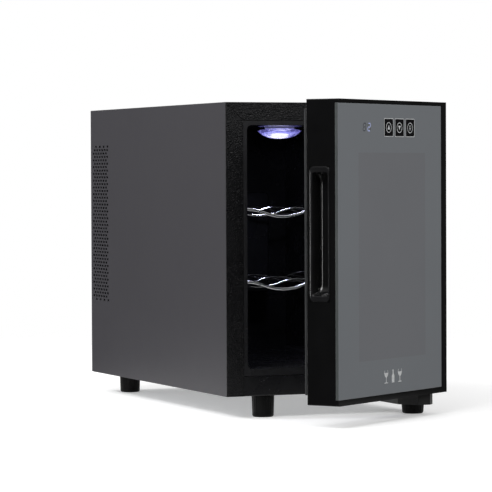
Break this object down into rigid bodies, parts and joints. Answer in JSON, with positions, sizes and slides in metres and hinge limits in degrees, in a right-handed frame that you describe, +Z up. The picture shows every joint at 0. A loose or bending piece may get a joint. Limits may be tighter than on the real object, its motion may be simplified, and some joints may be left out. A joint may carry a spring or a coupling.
{
  "type": "wine cooler",
  "caption": "Free-standing thermoelectric wine cooler: dark steel cabinet, lit black liner, waved chrome wire shelves, hinged smoked-mirror glass door with touch keys, fluted levelling feet.",
  "frame": {"origin": "on the floor, under the middle of the cabinet's footprint (the door stands ajar in front of it)", "axes": "+Z up; the door faces -Y and its hinge is on the +X side; X runs across the cabinet"},
  "size_m": [0.2686, 0.6566, 0.371],
  "materials": {
    "grey_sheet": "satin",
    "plain_sheet": "satin",
    "textured_black": "matte",
    "liner_black": "satin",
    "foam": "matte",
    "chrome_wire": "polished",
    "fan_black": "satin",
    "bare_aluminium": "satin",
    "module_white": "matte",
    "circuit_board": "satin",
    "steel_zinc": "satin",
    "painted_black": "satin",
    "lamp_clear": "polished",
    "lamp_ring": "gloss",
    "gloss_black": "gloss",
    "smoked_mirror": "polished",
    "clear_glass": "polished",
    "matt_black": "matte",
    "gasket_grey": "matte",
    "key_print": "gloss",
    "display_dark": "gloss",
    "bush_white": "satin"
  },
  "bodies": {
    "cabinet": {"base_pan": "plain_sheet", "cold_fan_cover": "liner_black", "cold_fan_frame": "fan_black", "cold_sink": "bare_aluminium", "exhaust_fan_frame": "fan_black", "foot_nuts": "steel_zinc", "front_header": "textured_black", "front_sill": "textured_black", "front_stile_left": "textured_black", "front_stile_right": "textured_black", "hinge_plate_screws": "steel_zinc", "hot_heat_sink": "bare_aluminium", "inner_liner": "liner_black", "insulation_foam": "foam", "lamp_bezel": "lamp_ring", "lamp_board": "circuit_board", "lamp_lens": "lamp_clear", "left_side_panel": "grey_sheet", "lower_hinge_bracket": "painted_black", "lower_hinge_pin": "steel_zinc", "power_board": "circuit_board", "power_inlet": "fan_black", "rear_bulkhead": "plain_sheet", "rear_cover": "fan_black", "rear_cover_screws": "steel_zinc", "right_side_panel": "grey_sheet", "spacer_block": "bare_aluminium", "temperature_sensor": "liner_black", "thermoelectric_module": "module_white", "top_panel": "grey_sheet", "upper_hinge_pin": "steel_zinc", "upper_hinge_plate": "painted_black"},
    "door": {"door_stile_free": "gloss_black", "door_stile_hinge": "gloss_black", "door_rail_top": "gloss_black", "door_rail_bottom": "gloss_black", "handle_bezel": "gloss_black", "handle_cup": "gloss_black", "door_outer_glass": "smoked_mirror", "door_inner_glass": "clear_glass", "glass_spacer": "bare_aluminium", "door_inner_frame": "matt_black", "door_gasket": "gasket_grey", "gasket_magnet": "gasket_grey", "touch_key_up": "key_print", "touch_key_down": "key_print", "touch_key_lamp": "key_print", "temperature_display": "display_dark", "control_board": "circuit_board", "upper_hinge_bush": "bush_white", "lower_hinge_bush": "bush_white"},
    "upper_shelf": {"shelf_upper": "chrome_wire"},
    "lower_shelf": {"shelf_lower": "chrome_wire"},
    "cold_fan": {"cold_fan_rotor": "fan_black"},
    "exhaust_fan": {"exhaust_fan_rotor": "fan_black"},
    "foot_fl": {"foot_front_left": "matt_black"},
    "foot_fr": {"foot_front_right": "matt_black"},
    "foot_rl": {"foot_rear_left": "matt_black"},
    "foot_rr": {"foot_rear_right": "matt_black"}
  },
  "joints": [
    {"name": "door_hinge", "type": "hinge", "parent": "cabinet", "child": "door", "pos_m": [0.114, -0.2535, 0.1985], "axis": [0, 0, 1], "range_deg": [-34.8, 65]},
    {"name": "upper_shelf_slide", "type": "slide", "parent": "cabinet", "child": "upper_shelf", "axis": [0, -1, 0], "range_m": [0, 0.012]},
    {"name": "lower_shelf_slide", "type": "slide", "parent": "cabinet", "child": "lower_shelf", "axis": [0, -1, 0], "range_m": [0, 0.012]},
    {"name": "cold_fan_spin", "type": "hinge", "parent": "cabinet", "child": "cold_fan", "pos_m": [0, 0.0795, 0.198], "axis": [0, 1, 0], "continuous": true},
    {"name": "exhaust_fan_spin", "type": "hinge", "parent": "cabinet", "child": "exhaust_fan", "pos_m": [0, 0.2035, 0.198], "axis": [0, 1, 0], "continuous": true},
    {"name": "level_fl", "type": "hinge", "parent": "cabinet", "child": "foot_fl", "pos_m": [-0.073, -0.2205, 0.02], "axis": [0, 0, 1], "continuous": true},
    {"name": "level_fr", "type": "hinge", "parent": "cabinet", "child": "foot_fr", "pos_m": [0.108, -0.2525, 0.02], "axis": [0, 0, 1], "continuous": true},
    {"name": "level_rl", "type": "hinge", "parent": "cabinet", "child": "foot_rl", "pos_m": [-0.086, 0.2015, 0.02], "axis": [0, 0, 1], "continuous": true},
    {"name": "level_rr", "type": "hinge", "parent": "cabinet", "child": "foot_rr", "pos_m": [0.086, 0.2015, 0.02], "axis": [0, 0, 1], "continuous": true}
  ]
}
